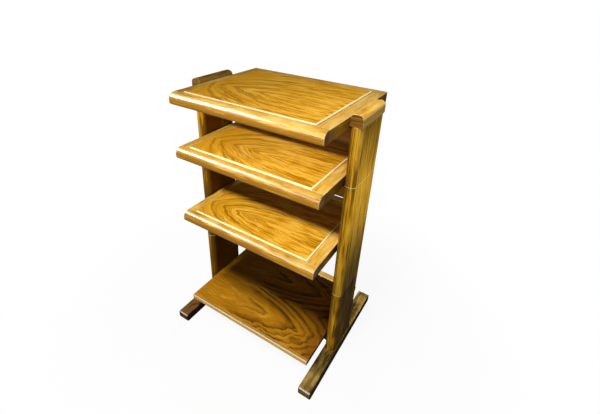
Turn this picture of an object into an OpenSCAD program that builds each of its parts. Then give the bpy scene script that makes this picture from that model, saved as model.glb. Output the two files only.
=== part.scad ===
// Wooden album stand: two stacked posts on runner feet, crowned caps on top,
// three framed and bullnosed shelves and one plain board near the floor.
// X runs across the stand, Y from front to back, Z up; the origin is on the
// floor, midway between the posts and midway between the ends of the feet.

/* [Posts] */
// Clear width between the two posts
inner_w = 474; // [400:1:560]
// Thickness of a post across the stand
post_t = 33; // [30:1:42]
// Depth of a post from its front round to its back round
post_d = 146; // [136:1:180]
// Length of the lowest post block
lower_post_h = 253; // [200:1:300]
// Length of the middle post block
middle_post_h = 376; // [330:1:420]
// Length of the highest post block
upper_post_h = 161; // [130:1:200]
// Bevel round both ends of every post block
post_bevel = 1.2; // [0.5:0.1:2]

/* [Caps] */
// Height of a cap
cap_h = 32; // [28:1:45]
// Round along both upper edges of a cap
cap_r = 13; // [8:0.5:14]
// Small round at the upper edge of a cap's end faces
cap_end_r = 2; // [1:0.5:4]

/* [Feet] */
// Height of a foot
foot_h = 30; // [28:1:45]
// Length of a foot from front to back
foot_l = 470; // [400:1:540]
// How far a foot stands out past the outer face of its post
foot_outset = 6; // [2:0.5:12]
// How far a foot stands in past the inner face of its post
foot_inset = 3; // [0:0.5:10]
// Round at the toe and heel of a foot
foot_end_r = 8; // [3:0.5:12]
// Small round along the upper long edges of a foot
foot_edge_r = 3; // [1:0.5:5]

/* [Upper shelves] */
// Air gap between a shelf and each post
shelf_gap = 3.5; // [2:0.5:6]
// Depth of the top shelf from the nosing to the back edge
top_shelf_d = 384; // [330:1:430]
// Depth of each shelf below it, whose nosings line up with the top one's
lower_shelf_d = 370; // [330:1:430]
// Reach of a shelf forward of the middle of the posts
shelf_reach = 194; // [170:1:215]
// Thickness of a shelf frame
shelf_h = 32.5; // [30:0.5:40]
// How far the two upper shelves sink below the post joints beside them
shelf_sink = 11; // [7:0.5:14]
// Height of the third shelf above the lower post joint
third_shelf_up = 145; // [110:1:180]
// Depth of the solid front nosing
nosing_d = 24; // [22:0.5:30]
// Large round at the upper front of the nosing
nosing_top_r = 20; // [12:0.5:21]
// Small round at the lower front of the nosing
nosing_low_r = 8; // [4:0.5:8]
// Width of the frame rails at both sides
side_rail_w = 33; // [28:0.5:45]
// Width of the frame rail at the back
back_rail_w = 32; // [26:0.5:45]
// Small round along the outer edges of the frame
frame_edge_r = 2.5; // [1:0.5:4]

/* [Shelf panels] */
// How far the middle panel stands above the frame
panel_rise = 4; // [2:0.5:6]
// Round along the upper edges of the panel
panel_edge_r = 4; // [2:0.5:5]
// Thickness of the panel
panel_t = 24; // [20:0.5:28]
// Air gap round the panel, for the wood to move in
panel_gap = 0.4; // [0.2:0.1:1]
// Thickness of the tongues and of the grooves that hold them
tongue_t = 7; // [5:0.5:9]
// Depth of the tongues
tongue_l = 8; // [6:0.5:10]
// Height of the tongues' underside above the underside of the frame
tongue_up = 14; // [12:0.5:18]
// Solid wood left at each end of the front and back grooves
groove_stop = 10; // [8:0.5:14]

/* [Bottom shelf] */
// Height of the bottom shelf's underside above the feet
bottom_shelf_up = 53; // [48:1:80]
// Thickness of the bottom shelf
bottom_t = 18; // [16:0.5:25]
// Gap between the bottom shelf and each post
bottom_gap = 1; // [0.5:0.5:3]
// Depth of the solid lipping at the front edge
lipping_d = 10; // [8:0.5:20]
// Round along the upper and lower edge of the front lipping
lipping_r = 3.5; // [2:0.5:5]
// Width of the solid rail at the back edge
bottom_back_w = 30; // [25:0.5:45]
// Height of the bead worked along the front of that rail
bead_h = 3; // [2:0.5:4]

/* [Cross rails] */
// Height of a cross rail
rail_h = 33; // [28:1:42]
// Thickness of a cross rail
rail_t = 22; // [18:0.5:26]
// Small round along the long edges of a cross rail
rail_edge_r = 2; // [1:0.5:4]
// Length of the stub tenons at the ends of a cross rail
tenon_l = 16; // [12:0.5:20]
// Thickness of those tenons
tenon_t = 9; // [7:0.5:12]
// Shoulder above and below those tenons
tenon_shoulder = 5; // [4:0.5:8]

/* [Tie rods and dowels] */
// Diameter of the steel tie rod in each post
rod_d = 8; // [6:0.5:10]
// Play round the rod in its bore
rod_play = 1; // [0.5:0.1:2]
// Width across the flats of the rod's nuts
nut_w = 13; // [12:0.5:16]
// Height of the nuts
nut_h = 6.5; // [5:0.5:9]
// Diameter of the washers
washer_d = 20; // [18:0.5:24]
// Thickness of the washers
washer_t = 1.6; // [1:0.1:3]
// Play round a washer in its counterbore
washer_play = 2; // [1:0.5:3]
// Length of rod left past each nut
rod_tail = 2; // [1:0.5:4]
// Diameter of the wooden dowels
dowel_d = 10; // [8:0.5:12]
// Length of the wooden dowels
dowel_l = 36; // [26:1:40]
// Distance between the two dowels of a joint
dowel_spread = 46; // [42:1:50]

/* [Screws and pins] */
// Shank diameter of the wood screws
screw_d = 4; // [3.5:0.5:5]
// Head diameter of the wood screws
screw_head_d = 8; // [7.5:0.5:10]
// How deep the wood screws reach into a shelf
screw_bite = 12; // [9:0.5:14]
// Distance of the bottom shelf's screws from the posts
bottom_screw_in = 60; // [40:1:90]
// Diameter of the steel pins that carry the third shelf
pin_d = 8; // [6:0.5:10]
// How deep a pin sits in the wood at each end
pin_seat = 14; // [10:0.5:18]
// Distance between the two pins of a post
pin_spread = 84; // [70:1:96]
// Glue or fitting gap round dowels, screws and pins, on the diameter
fit_gap = 0.1; // [0.05:0.05:0.3]

/* [Hidden] */
$fn = 64;

// A cut that ends on a face runs this much past it
over = 1;

// Heights of the joints between the blocks of a post
lower_seam = foot_h + lower_post_h;
upper_seam = lower_seam + middle_post_h;
post_top = upper_seam + upper_post_h;

// Undersides of the shelves
top_shelf_z = post_top - shelf_sink;
second_shelf_z = upper_seam - shelf_sink;
third_shelf_z = lower_seam + third_shelf_up;
bottom_shelf_z = foot_h + bottom_shelf_up;

// Posts and feet, measured on the right-hand side
post_in = inner_w / 2;
post_mid = post_in + post_t / 2;
post_out = post_in + post_t;
post_r = post_t / 2;
post_flat = post_d / 2 - post_r;
foot_in = post_in - foot_inset;
foot_out = post_out + foot_outset;

// Shelf frame
shelf_side = post_in - shelf_gap;
shelf_front = -shelf_reach;
top_back = shelf_front + top_shelf_d;
lower_back = shelf_front + lower_shelf_d;
field_front = shelf_front + nosing_d;
field_side = shelf_side - side_rail_w;
panel_top = shelf_h + panel_rise;

// Bottom shelf, which lines up with the shelves above
bottom_side = post_in - bottom_gap;
board_front = shelf_front + lipping_d;
board_back = lower_back - bottom_back_w;
board_tongue_t = bottom_t / 3;
board_tongue_l = bottom_t / 2;

// Cross rails lie against the flat part of the posts' inner faces
rail_mid = post_flat - rail_t / 2;
tenon_h = rail_h - 2 * tenon_shoulder;

// Tie rods
rod_bore = rod_d + rod_play;
sink_d = washer_d + washer_play;
sink_depth = washer_t + nut_h + 2 * rod_tail;
rod_bottom = rod_tail;
rod_top = post_top - rod_tail;

// Screws through the cross rails into the side rails of the shelves
frame_screw_x = shelf_side - side_rail_w / 2;
bottom_screw_x = post_in - bottom_screw_in;
screw_head_h = (screw_head_d - screw_d) / 2;

// ---- Ways of drawing -------------------------------------------------

// Extrudes a profile drawn as (y, z) from x0 to x1
module along_x(x0, x1) {
    translate([x0, 0, 0])
        rotate([90, 0, 90])
            linear_extrude(x1 - x0)
                children();
}

// Extrudes a profile drawn as (x, z) from y0 to y1
module along_y(y0, y1) {
    translate([0, y1, 0])
        rotate([90, 0, 0])
            linear_extrude(y1 - y0)
                children();
}

// Extrudes a plan drawn as (x, y) from z0 to z1
module along_z(z0, z1) {
    translate([0, 0, z0])
        linear_extrude(z1 - z0)
            children();
}

// The waste outside a quarter round of radius r at the origin's corner
module corner_waste(r) {
    difference() {
        translate([-over, -over])
            square(r + over);
        translate([r, r])
            circle(r);
    }
}

// A rectangle from a to b with its own round at each corner:
// low left, low right, high right, high left
module soft_rect(a, b, r) {
    difference() {
        translate(a)
            square(b - a);
        if (r[0] > 0)
            translate(a)
                corner_waste(r[0]);
        if (r[1] > 0)
            translate([b[0], a[1]])
                mirror([1, 0])
                    corner_waste(r[1]);
        if (r[2] > 0)
            translate(b)
                rotate(180)
                    corner_waste(r[2]);
        if (r[3] > 0)
            translate([a[0], b[1]])
                mirror([0, 1])
                    corner_waste(r[3]);
    }
}

// A box from a to b
module block(a, b) {
    translate(a)
        cube(b - a);
}

// A bar of square stock from a to b, with rounds along its edges:
// rx for the edges along X, ry for those along Y, rz for those along Z,
// each as low left, low right, high right, high left of the view
module soft_bar(a, b, rx, ry, rz) {
    intersection() {
        along_x(a[0], b[0])
            soft_rect([a[1], a[2]], [b[1], b[2]], rx);
        along_y(a[1], b[1])
            soft_rect([a[0], a[2]], [b[0], b[2]], ry);
        along_z(a[2], b[2])
            soft_rect([a[0], a[1]], [b[0], b[1]], rz);
    }
}

// Repeats its children at the front and the back, y and -y
module front_and_back(y) {
    for (side = [-1, 1])
        translate([0, side * y, 0])
            children();
}

// Mirrors its children to the left-hand side of the stand
module left_side() {
    mirror([1, 0, 0])
        children();
}

// ---- Posts, caps and feet (right-hand ones, mirrored for the left) ----

// One block of a post: flat sides, half-round front and back, bevelled ends
module post_block(z0, z1) {
    bevel = post_bevel;
    half = [
        [0, z0], [post_r - bevel, z0], [post_r, z0 + bevel],
        [post_r, z1 - bevel], [post_r - bevel, z1], [0, z1]
    ];
    translate([post_mid, 0, 0]) {
        along_y(-post_flat, post_flat) {
            polygon(half);
            mirror([1, 0])
                polygon(half);
        }
        front_and_back(post_flat)
            rotate_extrude()
                polygon(half);
    }
}

// The two dowel holes of the joint at height z
module dowel_holes(z) {
    front_and_back(dowel_spread / 2)
        translate([post_mid, 0, z - dowel_l / 2])
            cylinder(h = dowel_l, d = dowel_d + fit_gap);
}

// Bore for the tie rod
module rod_hole(z0, z1) {
    translate([post_mid, 0, z0 - over])
        cylinder(h = z1 - z0 + 2 * over, d = rod_bore);
}

// Mortises for the tenons of a front and a back cross rail under height z
module rail_mortises(z) {
    front_and_back(rail_mid)
        block(
            [post_in - over, -tenon_t / 2, z - rail_h + tenon_shoulder],
            [post_in + tenon_l, tenon_t / 2, z - tenon_shoulder]
        );
}

// Holes for the pins of the third shelf, from x0 to x1
module pin_holes(x0, x1) {
    front_and_back(pin_spread / 2)
        translate([x0, 0, third_shelf_z + shelf_h / 2])
            rotate([0, 90, 0])
                cylinder(h = x1 - x0, d = pin_d + fit_gap);
}

module lower_post() {
    color("peru")
        difference() {
            post_block(foot_h, lower_seam);
            rod_hole(foot_h, lower_seam);
            dowel_holes(foot_h);
            dowel_holes(lower_seam);
            rail_mortises(bottom_shelf_z);
        }
}

module middle_post() {
    color("peru")
        difference() {
            post_block(lower_seam, upper_seam);
            rod_hole(lower_seam, upper_seam);
            dowel_holes(lower_seam);
            dowel_holes(upper_seam);
            rail_mortises(second_shelf_z);
            pin_holes(post_in - over, post_in + pin_seat);
        }
}

module upper_post() {
    color("peru")
        difference() {
            post_block(upper_seam, post_top);
            rod_hole(upper_seam, post_top);
            dowel_holes(upper_seam);
            dowel_holes(post_top);
            rail_mortises(top_shelf_z);
            translate([post_mid, 0, post_top - sink_depth])
                cylinder(h = sink_depth + over, d = sink_d);
        }
}

// Crowned cap with square-cut ends
module cap() {
    top = post_top + cap_h;
    color("sienna")
        difference() {
            soft_bar(
                [post_in, -post_d / 2, post_top],
                [post_out, post_d / 2, top],
                [0, 0, cap_end_r, cap_end_r],
                [1, 1, cap_r, cap_r],
                [1, 1, 1, 1]
            );
            dowel_holes(post_top);
        }
}

// Runner foot, drilled for the tie rod and the dowels
module foot() {
    color("saddlebrown")
        difference() {
            soft_bar(
                [foot_in, -foot_l / 2, 0],
                [foot_out, foot_l / 2, foot_h],
                foot_end_r * [1, 1, 1, 1],
                [1, 1, foot_edge_r, foot_edge_r],
                foot_edge_r * [1, 1, 1, 1]
            );
            rod_hole(0, foot_h);
            dowel_holes(foot_h);
            translate([post_mid, 0, -over])
                cylinder(h = sink_depth + over, d = sink_d);
        }
}

module foot_right() { foot(); }
module foot_left() { left_side() foot(); }
module lower_post_right() { lower_post(); }
module lower_post_left() { left_side() lower_post(); }
module middle_post_right() { middle_post(); }
module middle_post_left() { left_side() middle_post(); }
module upper_post_right() { upper_post(); }
module upper_post_left() { left_side() upper_post(); }
module cap_right() { cap(); }
module cap_left() { left_side() cap(); }

// ---- Tie rods and dowels ---------------------------------------------

module tie_rod() {
    color("silver")
        translate([post_mid, 0, rod_bottom])
            cylinder(h = rod_top - rod_bottom, d = rod_d);
}

module tie_rod_right() { tie_rod(); }
module tie_rod_left() { left_side() tie_rod(); }

// Ring on a rod: a nut or a washer, hollow for the rod
module rod_ring(z, h, d, sides) {
    translate([post_mid, 0, z])
        difference() {
            cylinder(h = h, d = d, $fn = sides);
            translate([0, 0, -over])
                cylinder(h = h + 2 * over, d = rod_d + fit_gap);
        }
}

// A nut under each foot and one at the top of each post
module tie_rod_nuts() {
    corner_d = nut_w / cos(30);
    color("dimgray")
        for (side = [0, 1])
            mirror([side, 0, 0]) {
                rod_ring(sink_depth - washer_t - nut_h, nut_h, corner_d, 6);
                rod_ring(post_top - sink_depth + washer_t, nut_h, corner_d, 6);
            }
}

// A washer between each nut and the wood
module tie_rod_washers() {
    color("lightgray")
        for (side = [0, 1])
            mirror([side, 0, 0]) {
                rod_ring(sink_depth - washer_t, washer_t, washer_d, 64);
                rod_ring(post_top - sink_depth, washer_t, washer_d, 64);
            }
}

// Two dowels across every joint from the foot to the cap
module post_dowels() {
    color("burlywood")
        for (z = [foot_h, lower_seam, upper_seam, post_top])
            front_and_back(dowel_spread / 2)
                translate([post_mid, 0, z - dowel_l / 2])
                    cylinder(h = dowel_l, d = dowel_d);
}

module post_dowels_right() { post_dowels(); }
module post_dowels_left() { left_side() post_dowels(); }

// ---- Cross rails -------------------------------------------------------

// A rail whose top face is at z, at the front (side = -1) or back (side = 1),
// with a stub tenon at each end and screw holes at x and -x
module cross_rail(z, side, screw_x) {
    y = side * rail_mid;
    color("peru")
        difference() {
            union() {
                along_x(-post_in, post_in)
                    soft_rect(
                        [y - rail_t / 2, z - rail_h],
                        [y + rail_t / 2, z],
                        [rail_edge_r, rail_edge_r, 0, 0]
                    );
                block(
                    [-post_in - tenon_l, y - tenon_t / 2, z - rail_h + tenon_shoulder],
                    [post_in + tenon_l, y + tenon_t / 2, z - tenon_shoulder]
                );
            }
            for (x = [-screw_x, screw_x])
                translate([x, y, z - rail_h])
                    screw_hole(rail_h);
        }
}

// Countersunk hole that goes up through a piece of height h
module screw_hole(h) {
    translate([0, 0, -over])
        cylinder(h = h + 2 * over, d = screw_d + fit_gap);
    cylinder(
        h = screw_head_h,
        d1 = screw_head_d + fit_gap,
        d2 = screw_d + fit_gap
    );
}

module top_rail_front() { cross_rail(top_shelf_z, -1, frame_screw_x); }
module top_rail_back() { cross_rail(top_shelf_z, 1, frame_screw_x); }
module second_rail_front() { cross_rail(second_shelf_z, -1, frame_screw_x); }
module second_rail_back() { cross_rail(second_shelf_z, 1, frame_screw_x); }
module lower_stretcher_front() { cross_rail(bottom_shelf_z, -1, bottom_screw_x); }
module lower_stretcher_back() { cross_rail(bottom_shelf_z, 1, bottom_screw_x); }

// Countersunk wood screws that stand in the cross rails under height z
module rail_screws(z, screw_x) {
    color("gray")
        for (x = [-screw_x, screw_x])
            front_and_back(rail_mid)
                translate([x, 0, z - rail_h]) {
                    cylinder(h = rail_h + screw_bite, d = screw_d);
                    cylinder(h = screw_head_h, d1 = screw_head_d, d2 = screw_d);
                }
}

module top_shelf_screws() { rail_screws(top_shelf_z, frame_screw_x); }
module second_shelf_screws() { rail_screws(second_shelf_z, frame_screw_x); }
module bottom_shelf_screws() { rail_screws(bottom_shelf_z, bottom_screw_x); }

// ---- Framed shelves, drawn with their underside at z = 0 ----------------

// Groove for the tongues, as a (y, z) profile that opens at y towards dir
module groove_profile(y, dir) {
    translate([dir > 0 ? y - over : y - tongue_l, tongue_up])
        square([tongue_l + over, tongue_t]);
}

// Solid front edge with a large round above and a small one below
module nosing() {
    color("goldenrod")
        difference() {
            soft_bar(
                [-shelf_side, shelf_front, 0],
                [shelf_side, field_front, shelf_h],
                [nosing_low_r, 0, 0, nosing_top_r],
                frame_edge_r * [1, 1, 1, 1],
                [frame_edge_r, frame_edge_r, 0, 0]
            );
            along_x(-shelf_side + groove_stop, shelf_side - groove_stop)
                groove_profile(field_front, -1);
        }
}

// Rail along the back edge of a shelf that reaches back to y = back
module back_rail(back) {
    color("goldenrod")
        difference() {
            soft_bar(
                [-shelf_side, back - back_rail_w, 0],
                [shelf_side, back, shelf_h],
                [0, frame_edge_r, frame_edge_r, 0],
                frame_edge_r * [1, 1, 1, 1],
                [0, 0, frame_edge_r, frame_edge_r]
            );
            along_x(-shelf_side + groove_stop, shelf_side - groove_stop)
                groove_profile(back - back_rail_w, 1);
        }
}

// Rail along the right-hand side, with a stub tenon at each end
module side_rail(back) {
    field_back = back - back_rail_w;
    difference() {
        union() {
            along_y(field_front, field_back)
                soft_rect(
                    [field_side, 0], [shelf_side, shelf_h],
                    [0, frame_edge_r, frame_edge_r, 0]
                );
            block(
                [field_side, field_front - tongue_l, tongue_up],
                [shelf_side - groove_stop, field_back + tongue_l, tongue_up + tongue_t]
            );
        }
        block(
            [field_side - over, field_front - tongue_l - over, tongue_up],
            [field_side + tongue_l, field_back + tongue_l + over, tongue_up + tongue_t]
        );
    }
}

// A side rail with pilot holes for the screws from the cross rails below
module screwed_side_rail(back) {
    color("darkgoldenrod")
        difference() {
            side_rail(back);
            front_and_back(rail_mid)
                translate([frame_screw_x, 0, -over])
                    cylinder(h = screw_bite + over, d = screw_d + fit_gap);
        }
}

// Panel with rounded upper edges, held by a tongue all round
module panel(back) {
    field_back = back - back_rail_w;
    grip = tongue_l - panel_gap;
    color("orange")
        union() {
            soft_bar(
                [-field_side + panel_gap, field_front + panel_gap, panel_top - panel_t],
                [field_side - panel_gap, field_back - panel_gap, panel_top],
                [0, 0, panel_edge_r, panel_edge_r],
                [0, 0, panel_edge_r, panel_edge_r],
                [0, 0, 0, 0]
            );
            block(
                [-field_side - grip, field_front - grip, tongue_up],
                [field_side + grip, field_back + grip, tongue_up + tongue_t]
            );
        }
}

// Places a shelf piece at the height of its shelf
module at_height(z) {
    translate([0, 0, z])
        children();
}

module top_shelf_nosing() { at_height(top_shelf_z) nosing(); }
module top_shelf_back_rail() { at_height(top_shelf_z) back_rail(top_back); }
module top_shelf_right_rail() { at_height(top_shelf_z) screwed_side_rail(top_back); }
module top_shelf_left_rail() { left_side() top_shelf_right_rail(); }
module top_shelf_panel() { at_height(top_shelf_z) panel(top_back); }

module second_shelf_nosing() { at_height(second_shelf_z) nosing(); }
module second_shelf_back_rail() { at_height(second_shelf_z) back_rail(lower_back); }
module second_shelf_right_rail() { at_height(second_shelf_z) screwed_side_rail(lower_back); }
module second_shelf_left_rail() { left_side() second_shelf_right_rail(); }
module second_shelf_panel() { at_height(second_shelf_z) panel(lower_back); }

// The third shelf hangs on steel pins, so its side rails are cross-drilled
module third_shelf_nosing() { at_height(third_shelf_z) nosing(); }
module third_shelf_back_rail() { at_height(third_shelf_z) back_rail(lower_back); }
module third_shelf_right_rail() {
    color("darkgoldenrod")
        difference() {
            at_height(third_shelf_z)
                side_rail(lower_back);
            pin_holes(shelf_side - pin_seat, shelf_side + over);
        }
}
module third_shelf_left_rail() { left_side() third_shelf_right_rail(); }
module third_shelf_panel() { at_height(third_shelf_z) panel(lower_back); }

module third_shelf_pins() {
    color("silver")
        for (side = [0, 1])
            mirror([side, 0, 0])
                front_and_back(pin_spread / 2)
                    translate([shelf_side - pin_seat, 0, third_shelf_z + shelf_h / 2])
                        rotate([0, 90, 0])
                            cylinder(h = shelf_gap + 2 * pin_seat, d = pin_d);
}

// ---- Bottom shelf ------------------------------------------------------

// Tongue that joins the board to its solid edges, as a (y, z) profile
module board_tongue(y0, y1) {
    translate([y0, bottom_shelf_z + (bottom_t - board_tongue_t) / 2])
        square([y1 - y0, board_tongue_t]);
}

module bottom_shelf_board() {
    color("peru")
        difference() {
            union() {
                block(
                    [-bottom_side, board_front, bottom_shelf_z],
                    [bottom_side, board_back, bottom_shelf_z + bottom_t]
                );
                along_x(-bottom_side, bottom_side)
                    board_tongue(board_back - over, board_back + board_tongue_l);
            }
            for (x = [-bottom_screw_x, bottom_screw_x])
                front_and_back(rail_mid)
                    translate([x, 0, bottom_shelf_z - over])
                        cylinder(h = screw_bite + over, d = screw_d + fit_gap);
        }
}

module bottom_shelf_lipping() {
    color("wheat")
        along_x(-bottom_side, bottom_side)
            soft_rect(
                [shelf_front, bottom_shelf_z],
                [board_front, bottom_shelf_z + bottom_t],
                [lipping_r, 0, 0, lipping_r]
            );
}

// Back rail of the bottom shelf: a low bead runs along its front edge
module bottom_shelf_back_rail() {
    top = bottom_shelf_z + bottom_t;
    color("goldenrod")
        along_x(-bottom_side, bottom_side)
            difference() {
                union() {
                    soft_rect(
                        [board_back, bottom_shelf_z], [lower_back, top],
                        [0, frame_edge_r, frame_edge_r, 0]
                    );
                    intersection() {
                        translate([board_back + bead_h, top])
                            circle(bead_h);
                        translate([board_back, bottom_shelf_z])
                            square([2 * bead_h, bottom_t + bead_h]);
                    }
                }
                board_tongue(board_back - over, board_back + board_tongue_l);
            }
}

// ---- Whole stand ---------------------------------------------------------

foot_left();
foot_right();
lower_post_left();
lower_post_right();
middle_post_left();
middle_post_right();
upper_post_left();
upper_post_right();
cap_left();
cap_right();
tie_rod_left();
tie_rod_right();
tie_rod_nuts();
tie_rod_washers();
post_dowels_left();
post_dowels_right();
top_rail_front();
top_rail_back();
second_rail_front();
second_rail_back();
lower_stretcher_front();
lower_stretcher_back();
top_shelf_nosing();
top_shelf_left_rail();
top_shelf_right_rail();
top_shelf_back_rail();
top_shelf_panel();
top_shelf_screws();
second_shelf_nosing();
second_shelf_left_rail();
second_shelf_right_rail();
second_shelf_back_rail();
second_shelf_panel();
second_shelf_screws();
third_shelf_nosing();
third_shelf_left_rail();
third_shelf_right_rail();
third_shelf_back_rail();
third_shelf_panel();
third_shelf_pins();
bottom_shelf_board();
bottom_shelf_lipping();
bottom_shelf_back_rail();
bottom_shelf_screws();
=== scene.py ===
"""Wooden album stand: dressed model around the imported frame.

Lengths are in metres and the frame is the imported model's own: X runs across the
stand, Y from front to back, Z up, with the origin on the floor.
"""
import math

import bpy
import numpy as np
from mathutils import Matrix, Vector


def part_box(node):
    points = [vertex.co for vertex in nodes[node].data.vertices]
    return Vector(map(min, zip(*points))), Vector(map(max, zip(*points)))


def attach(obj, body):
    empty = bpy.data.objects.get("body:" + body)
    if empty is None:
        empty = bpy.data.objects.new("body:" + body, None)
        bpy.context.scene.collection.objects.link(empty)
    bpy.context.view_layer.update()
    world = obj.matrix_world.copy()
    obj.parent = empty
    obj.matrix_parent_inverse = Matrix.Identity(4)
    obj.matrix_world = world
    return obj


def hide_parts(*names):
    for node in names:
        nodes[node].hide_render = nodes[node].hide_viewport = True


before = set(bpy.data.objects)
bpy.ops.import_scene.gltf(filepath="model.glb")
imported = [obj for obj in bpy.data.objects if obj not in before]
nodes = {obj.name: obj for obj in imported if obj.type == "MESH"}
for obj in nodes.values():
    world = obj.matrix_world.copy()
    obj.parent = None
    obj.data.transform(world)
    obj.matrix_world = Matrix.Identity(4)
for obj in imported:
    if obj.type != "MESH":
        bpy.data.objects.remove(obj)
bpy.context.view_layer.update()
scene = bpy.context.scene
MM = 0.001


# ---- Shapes ---------------------------------------------------------------

# Where a bar's run and its two cross directions lie in X, Y, Z
LAYOUT = {"x": (0, 1, 2), "y": (1, 0, 2), "z": (2, 0, 1)}
# Where the directions along, across and through the wood lie in X, Y, Z
GRAIN = {"x": (0, 1, 2), "y": (1, 0, 2), "z": (2, 1, 0)}
# A round of this radius or less counts as an arris, which the finishes make paler: partly wear from hands,
# partly painted highlight
ARRIS = 4.5 * MM
# A corner keeps at least this radius
LEAST_RADIUS = 0.08 * MM
# Points of two patches that lie this close together become one
WELD = 0.001 * MM
# A lot of wood lies this far along the tree from the one before it, and a few cm beside it
LOT_ALONG = 3.17
# A lot whose figure stays on its flat face lies this far through the wood from the one before it
LOT_THROUGH = 0.6
# A piece with neither a tone change nor painted light or shade on any face
NO_PAINTED_SHADE = (0, 0, 0, 0)


def steps_for(radius):
    """Steps in a quarter round: 4, and one more for each mm of radius, up to 18."""
    return int(np.clip(4 + radius / MM, 4, 18))


def rounded_section(low, high, rounds, insets):
    """Section of a bar: a rectangle with its own quarter round at each corner.

    The rectangle low-high is drawn in by insets (left, right, bottom, top). Corner k
    is centre + radius * (cos t, sin t) for t over its own quarter turn, in the order
    low left, low right, high right, high left. A corner's radius shrinks by the
    larger inset beside it. Returns the points, their outward normals and how near
    each one is to the middle of a small round (1) or to a flat (0).
    """
    by_left, by_right, by_bottom, by_top = insets
    left, right = low[0] + by_left, high[0] - by_right
    bottom, top = low[1] + by_bottom, high[1] - by_top
    # Each corner's place, the way inwards from it, and the larger inset beside it
    tips = [(left, bottom, 1, 1, max(by_left, by_bottom)), (right, bottom, -1, 1, max(by_right, by_bottom)),
            (right, top, -1, -1, max(by_right, by_top)), (left, top, 1, -1, max(by_left, by_top))]
    points, normals, arris = [], [], []
    for k, (x, y, inward_x, inward_y, inset) in enumerate(tips):
        radius = max(rounds[k] - inset, LEAST_RADIUS)
        share = np.linspace(0, 1, steps_for(rounds[k]) + 1)
        turn = math.pi + 0.5 * math.pi * (k + share)
        normal = np.stack([np.cos(turn), np.sin(turn)], 1)
        points.append(np.array([x + inward_x * radius, y + inward_y * radius]) + radius * normal)
        normals.append(normal)
        arris.append(np.sin(math.pi * share) * (rounds[k] <= ARRIS))
    return np.concatenate(points), np.concatenate(normals), np.concatenate(arris)


class Skin:
    """Patches of one closed surface, welded where their points meet."""

    def __init__(self):
        self.points, self.faces, self.normals, self.arris = [], [], [], []
        self.count = 0

    def add(self, points, faces, normals, arris=None):
        """points (n, 3), faces as lists of indices, one normal for each point."""
        self.points.append(points)
        self.arris.append(np.zeros(len(points)) if arris is None else arris)
        self.faces += [[int(i) + self.count for i in face] for face in faces]
        self.normals.append(normals)
        self.count += len(points)

    def mesh(self, name, grain_axis):
        """One mesh with shared points, and with each patch's normals kept.

        The attribute cut is the squared share of the normal along the grain: 1 on
        end grain, 0 on the faces that run with the wood.
        """
        points = np.concatenate(self.points)
        normals = np.concatenate(self.normals)
        arris = np.concatenate(self.arris)
        keys = np.round(points / WELD).astype(np.int64)
        _, first, where = np.unique(keys, axis=0, return_index=True, return_inverse=True)
        where = where.reshape(-1)
        faces, loops = [], []
        for face in self.faces:
            welded = [where[i] for i in face]
            keep = [k for k in range(len(face)) if welded[k] != welded[k - 1]]
            if len(keep) > 2:
                faces.append([int(welded[k]) for k in keep])
                loops += [face[k] for k in keep]
        made = bpy.data.meshes.new(name)
        made.from_pydata(points[first].tolist(), [], faces)
        round_share = np.zeros(len(first))
        np.maximum.at(round_share, where, arris)
        cut = np.zeros(len(first))
        np.maximum.at(cut, where, normals[:, grain_axis] ** 2)
        for label, values in (("arris", round_share), ("cut", cut)):
            layer = made.attributes.new(label, "FLOAT", "POINT")
            layer.data.foreach_set("value", values.astype(np.float32))
        made.polygons.foreach_set("use_smooth", np.ones(len(faces), bool))
        made.normals_split_custom_set(normals[loops].tolist())
        return made


def grid_faces(rows, columns, flip):
    """Quads of a grid whose columns close round, wound outwards unless flip."""
    i, j = np.meshgrid(np.arange(rows - 1), np.arange(columns), indexing="ij")
    row, above = i * columns, (i + 1) * columns
    beside = (j + 1) % columns
    quads = np.stack([row + j, above + j, above + beside, row + beside], -1).reshape(-1, 4)
    return quads if flip else quads[:, ::-1]


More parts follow.
